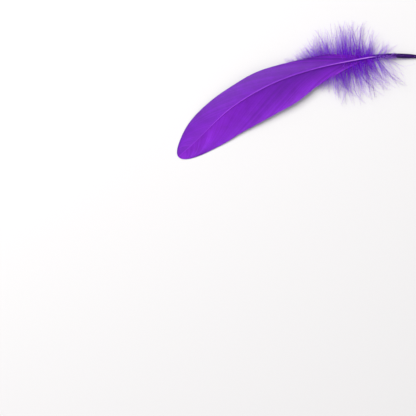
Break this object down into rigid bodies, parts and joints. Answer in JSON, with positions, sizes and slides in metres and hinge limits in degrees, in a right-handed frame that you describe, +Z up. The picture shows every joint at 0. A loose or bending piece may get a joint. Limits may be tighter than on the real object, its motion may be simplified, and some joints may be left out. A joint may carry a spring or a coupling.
{
  "type": "goose feather",
  "caption": "Dyed goose wing feather lying on its hollow side: a curved shaft with a bare quill, a narrow and a wide vane, and fluffy down at the base.",
  "frame": {"origin": "on the resting surface, under the place where the quill touches it", "axes": "+X from the quill towards the tip, parallel to the straight line between the shaft's two ends; +Y towards the wide inner vane; +Z up from the surface, out of the feather's rounded upper side"},
  "size_m": [0.174, 0.0588, 0.0122],
  "materials": {
    "vane": "satin",
    "quill": "gloss",
    "down": "matt"
  },
  "bodies": {
    "root": {"feather": "vane"}
  },
  "joints": []
}
